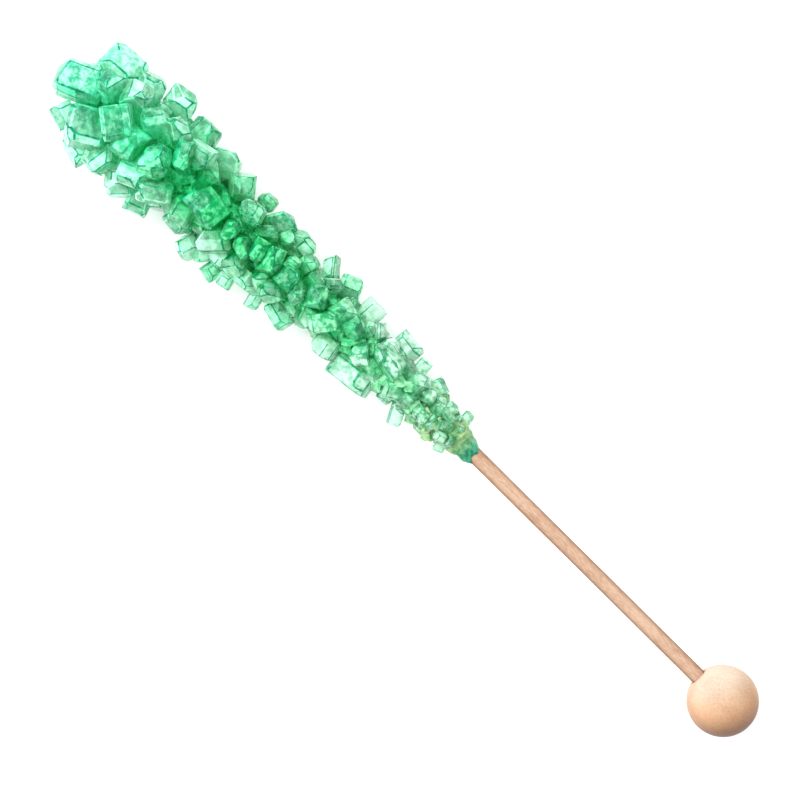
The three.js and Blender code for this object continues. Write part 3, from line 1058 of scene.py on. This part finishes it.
def sugar(name, colours, roughness, bumpiness, through=None, with_crease_shade=True, pale_and_side_light=False):
    """Mottled sugar. Light gets through where through gives its share in cloudy and clear spots."""
    made, tree = new_material(name)
    place = object_place(tree)
    cloudy = map_range(tree, noise_texture(tree, place, *PATCHES), *PATCH_RANGE)
    grainy = weighted_sum(tree, noise_texture(tree, place, *GRAIN), GRAIN_WEIGHT, cloudy)
    mottled = map_range(tree, grainy, *[GRAIN_WEIGHT / 2 + end for end in MOTTLING])
    x = wire(tree.nodes.new("ShaderNodeSeparateXYZ"), {"Vector": place}).outputs["X"]
    zone = map_range(tree, x, ZONES_FROM_X, ZONES_TO_X)
    dark, pale = zone_colour(tree, zone, colours, 1), zone_colour(tree, zone, colours, 2)
    colour = mixed(tree, mottled, dark, pale)
    # Painted shade: darker, deeper green deep between the crystals and in their creases.
    if with_crease_shade:
        depth = map_range(tree, marked(tree, "depth"), *CREASE_SHADE_DEPTHS, 0, CREASE_SHADE_MOST, "SMOOTHSTEP")
        colour = mixed(tree, depth, colour, zone_colour(tree, zone, CREASE_SHADE_COLOURS, 1))
    # Paleness that differs at random, with painted light that makes the long sides palest.
    if pale_and_side_light:
        pale_and_side_light_colour = zone_colour(tree, zone, PALE_AND_SIDE_LIGHT_COLOURS, 1)
        colour = mixed(tree, marked(tree, "pale"), colour, pale_and_side_light_colour)
    inputs = {
        "Base Color": colour,
        "Roughness": roughness,
        "IOR": GLASS_IOR,
        "Specular Tint": (*GLASS_GLOSS, 1),
        "Normal": bumped(tree, noise_texture(tree, place, *RELIEF), bumpiness, BUMP_DEPTH),
    }
    volume = None
    if through:
        in_cloudy, in_clear = through
        inputs["Transmission Weight"] = map_range(tree, cloudy, 0, 1, in_clear, in_cloudy)
        absorbs = {"Color": (*VOLUME_COLOUR, 1), "Density": VOLUME_DENSITY}
        volume = wire(tree.nodes.new("ShaderNodeVolumeAbsorption"), absorbs).outputs["Volume"]
    show_surface(tree, inputs, volume)
    return made


# The slots of candy_crystals, in the order CLEAR, DEEP, FROST.
candy.data.materials.append(sugar(
    "sugar_clear", CLEAR_COLOURS, roughness=0.06, bumpiness=0.4, through=(0.62, 0.85),
    pale_and_side_light=True,
))
candy.data.materials.append(sugar(
    "sugar_deep", DEEP_COLOURS, roughness=0.12, bumpiness=0.4, through=(0.4, 0.7),
))
candy.data.materials.append(sugar(
    "sugar_frost", FROST_COLOURS, roughness=0.25, bumpiness=0.5, through=(0.25, 0.55),
    pale_and_side_light=True,
))
candy.data.polygons.foreach_set("material_index", candy_kinds)
crust.data.materials.append(sugar(
    "sugar_crust", CRUST_COLOURS, roughness=0.2, bumpiness=0.4, with_crease_shade=False,
))

# ---- wood --------------------------------------------------------------------------------------

WOOD_SIDES = 96
DOWEL_STEPS = 60
DOWEL_CHAMFER = 0.2
KNOB_STEPS = 48
MOUTH_CHAMFER = (0.15, 0.1)  # of the knob's hole: along and across

WOOD_ROUGHNESS = 0.45
WOOD_GLOSS = 0.15
WOOD_GRAIN = (4, 0.65)  # detail and roughness of its noise
WOOD_STREAKS = (260, 2, 0.5)  # scale, detail and roughness of its noise
WOOD_CONTRAST = (0.32, 0.68)
WOOD_BUMPINESS = 0.3
WOOD_BUMP_DEPTH = 0.0001
DOWEL_DARK = (0.33, 0.193, 0.12)
DOWEL_PALE = (0.46, 0.312, 0.224)
KNOB_DARK = (0.38, 0.288, 0.216)
KNOB_PALE = (0.487, 0.386, 0.305)
# What the wood's colour is multiplied by as painted shade, on the knob also painted light: (share,
# colour).
DOWEL_PAINTED_SHADE_TINTS = [
    (0, (1, 1, 1)),
    (0.3, (0.88, 0.83, 0.77)),
    (1, (0.45, 0.37, 0.32)),
]
KNOB_PAINTED_LIGHT_AND_SHADE_TINTS = [
    (0, (1, 1, 1)),
    (0.22, (1, 0.82, 0.67)),
    (0.45, (0.93, 0.69, 0.5)),
    (0.72, (0.69, 0.485, 0.35)),
    (1, (0.25, 0.15, 0.1)),
]
# Where the painted shade falls: the direction it faces, and from where to where along it the share
# rises.
DOWEL_SHADE = ((0, 0, -1), -0.98, -0.3)
KNOB_SHADE = ((1, -0.5, -0.5), -1, 0.85)


def dowel_profile():
    start_x, end_x = DOWEL_START_X + DOWEL_CHAMFER, DOWEL_END_X - DOWEL_CHAMFER
    end_radius = DOWEL_RADIUS - DOWEL_CHAMFER
    profile = [(DOWEL_START_X, 0), (DOWEL_START_X, end_radius)]
    for step in range(DOWEL_STEPS):
        profile.append((between(start_x, end_x, step / DOWEL_STEPS), DOWEL_RADIUS))
    return [*profile, (end_x, DOWEL_RADIUS), (DOWEL_END_X, end_radius), (DOWEL_END_X, 0)]


def knob_profile():
    bore_end = DOWEL_END_X + FIT_GAP
    land_radius = BORE_RADIUS + KNOB_LAND_WIDTH
    land_angle = math.asin(land_radius / KNOB_RADIUS)
    mouth_x = KNOB_X - KNOB_RADIUS * math.cos(land_angle)
    hole = DOWEL_RADIUS + SNUG_GAP
    profile = [
        (bore_end, 0),
        (bore_end, hole),
        (mouth_x + MOUTH_CHAMFER[0], hole),
        (mouth_x, hole + MOUTH_CHAMFER[1]),
    ]
    for step in range(KNOB_STEPS):
        angle = between(land_angle, math.pi, step / KNOB_STEPS)
        profile.append((KNOB_X - KNOB_RADIUS * math.cos(angle), KNOB_RADIUS * math.sin(angle)))
    return [*profile, (KNOB_X + KNOB_RADIUS, 0)]


def shade_marks(obj, towards, low, high):
    """How far each point of a piece faces along a direction, from 0 to 1, for painted light and
    shade.
    """
    towards = Vector(towards).normalized()
    return [smooth_step(low, high, vertex.normal.dot(towards)) for vertex in obj.data.vertices]


def bare_wood(name, dark, pale, painted_shading_tints, along_scale, grain_scale, streakiness):
    """Wood with its grain along X, and painted light and shade where the piece is marked with
    shade.
    """
    made, tree = new_material(name)
    stretch = {"Vector": object_place(tree), "Scale": (along_scale, 1, 1)}
    place = wire(tree.nodes.new("ShaderNodeMapping"), stretch).outputs["Vector"]
    grain = noise_texture(tree, place, grain_scale, *WOOD_GRAIN)
    streaks = noise_texture(tree, place, *WOOD_STREAKS)
    low, high = (end + streakiness / 2 for end in WOOD_CONTRAST)
    both = weighted_sum(tree, streaks, streakiness, grain)
    colour = colour_ramp(tree, both, [(low, dark), (high, pale)])
    painted_shading = colour_ramp(tree, marked(tree, "shade"), painted_shading_tints)
    show_surface(tree, {
        "Base Color": mixed(tree, 1, colour, painted_shading, "MULTIPLY"),
        "Roughness": WOOD_ROUGHNESS,
        "Specular IOR Level": WOOD_GLOSS,
        "Normal": bumped(tree, grain, WOOD_BUMPINESS, WOOD_BUMP_DEPTH),
    })
    return made


dowel_points, dowel_faces = lathed(dowel_profile(), WOOD_SIDES)
dowel = piece("wood_dowel", dowel_points, dowel_faces, "dowel", smooth=True)
# Painted shade: the dowel is darker and browner on its sides that face down.
mark(dowel, "shade", shade_marks(dowel, *DOWEL_SHADE))
dowel.data.materials.append(bare_wood(
    "dowel_grain", DOWEL_DARK, DOWEL_PALE, DOWEL_PAINTED_SHADE_TINTS,
    along_scale=0.3, grain_scale=2600, streakiness=0.5,
))

knob_points, knob_faces = lathed(knob_profile(), WOOD_SIDES)
# The knob has a flat spot where it rests on the table.
knob_points = [point - TABLE_UP * min(height_above_table(point), 0) for point in knob_points]
knob = piece("wood_knob", knob_points, knob_faces, "knob", smooth=True)
# Painted light and shade: the knob is lighter where it faces the tip and up, browner and darker
# where it faces away.
mark(knob, "shade", shade_marks(knob, *KNOB_SHADE))
knob.data.materials.append(bare_wood(
    "knob_grain", KNOB_DARK, KNOB_PALE, KNOB_PAINTED_LIGHT_AND_SHADE_TINTS,
    along_scale=0.55, grain_scale=3300, streakiness=0.6,
))

# ---- the table, in metres ----------------------------------------------------------------------

FLOOR_REACH = 2
FLOOR_GREY = 0.92
FLOOR_ROUGHNESS = 0.6

floor_corners = [
    Vector((x * FLOOR_REACH, y * FLOOR_REACH, 0)) for x, y in ((-1, -1), (1, -1), (1, 1), (-1, 1))
]
floor = mesh_object("floor", floor_corners, [[0, 1, 2, 3]])
floor_material, floor_tree = new_material("floor")
show_surface(floor_tree, {"Base Color": (*[FLOOR_GREY] * 3, 1), "Roughness": FLOOR_ROUGHNESS})
floor.data.materials.append(floor_material)

# ---- light -------------------------------------------------------------------------------------

# The sky's radiance by height, from the horizon at 0 to straight up at 1.
SKY = [(0, 1.35), (0.3, 1.6), (0.8, 1.5), (1, 1.25)]
SKY_SCALE = 2  # a colour goes no further than 1, so the sky's is given as a share of this
SIDE_LIGHT = (1.3, 0.72)  # what the sky is multiplied by, from the tip's side to the knob's

SOFTBOX_AZIMUTH = math.radians(182)
SOFTBOX_ELEVATION = math.radians(42)
SOFTBOX_WIDTH = 0.8
SOFTBOX_DISTANCE = 0.7
SOFTBOX_RADIANCE = 4.0

world = bpy.data.worlds.new("studio")
bpy.context.scene.world = world
world.use_nodes = True
sky_tree = world.node_tree
direction = sky_tree.nodes.new("ShaderNodeTexCoord").outputs["Generated"]
split = wire(sky_tree.nodes.new("ShaderNodeSeparateXYZ"), {"Vector": direction})
sky_rows = [(height, [radiance / SKY_SCALE] * 3) for height, radiance in SKY]
lit = sky_tree.nodes.new("ShaderNodeVectorMath")
lit.operation = "SCALE"
wire(lit, {
    0: colour_ramp(sky_tree, split.outputs["Z"], sky_rows),
    "Scale": map_range(sky_tree, split.outputs["X"], -1, 1, *SIDE_LIGHT),
})
wire(sky_tree.nodes["Background"], {"Color": lit.outputs["Vector"], "Strength": SKY_SCALE})

softbox = bpy.data.lights.new("softbox", "AREA")
softbox.shape = "DISK"
softbox.size = SOFTBOX_WIDTH
softbox.energy = SOFTBOX_RADIANCE * math.pi * math.pi * SOFTBOX_WIDTH * SOFTBOX_WIDTH / 4
softbox_object = bpy.data.objects.new("softbox", softbox)
bpy.context.scene.collection.objects.link(softbox_object)
softbox_object.location = SOFTBOX_DISTANCE * Vector((
    math.cos(SOFTBOX_ELEVATION) * math.cos(SOFTBOX_AZIMUTH),
    math.cos(SOFTBOX_ELEVATION) * math.sin(SOFTBOX_AZIMUTH),
    math.sin(SOFTBOX_ELEVATION),
))
softbox_object.rotation_euler = (-softbox_object.location).to_track_quat("-Z", "Y").to_euler()

# ---- camera, straight above, in metres ---------------------------------------------------------

CAMERA_LENS = 120  # in millimetres, as the sensor is
HALF_SENSOR = 18
CAMERA_TURN = math.radians(44.73)
AIM = (-0.00035, -0.00086, 0.009)
FRAME_WIDTH = 0.14768  # what the picture takes in, at the height of the aim
CAMERA_DISTANCE = FRAME_WIDTH / 2 * CAMERA_LENS / HALF_SENSOR
LIGHT_BOUNCES = 24

camera = bpy.data.cameras.new("camera")
camera.lens = CAMERA_LENS
camera_object = bpy.data.objects.new("camera", camera)
bpy.context.scene.collection.objects.link(camera_object)
camera_object.location = (AIM[0], AIM[1], AIM[2] + CAMERA_DISTANCE)
camera_object.rotation_euler = (0, 0, CAMERA_TURN)
bpy.context.scene.camera = camera_object

scene = bpy.context.scene
scene.view_settings.view_transform = "Standard"
scene.cycles.max_bounces = LIGHT_BOUNCES
scene.cycles.transmission_bounces = LIGHT_BOUNCES
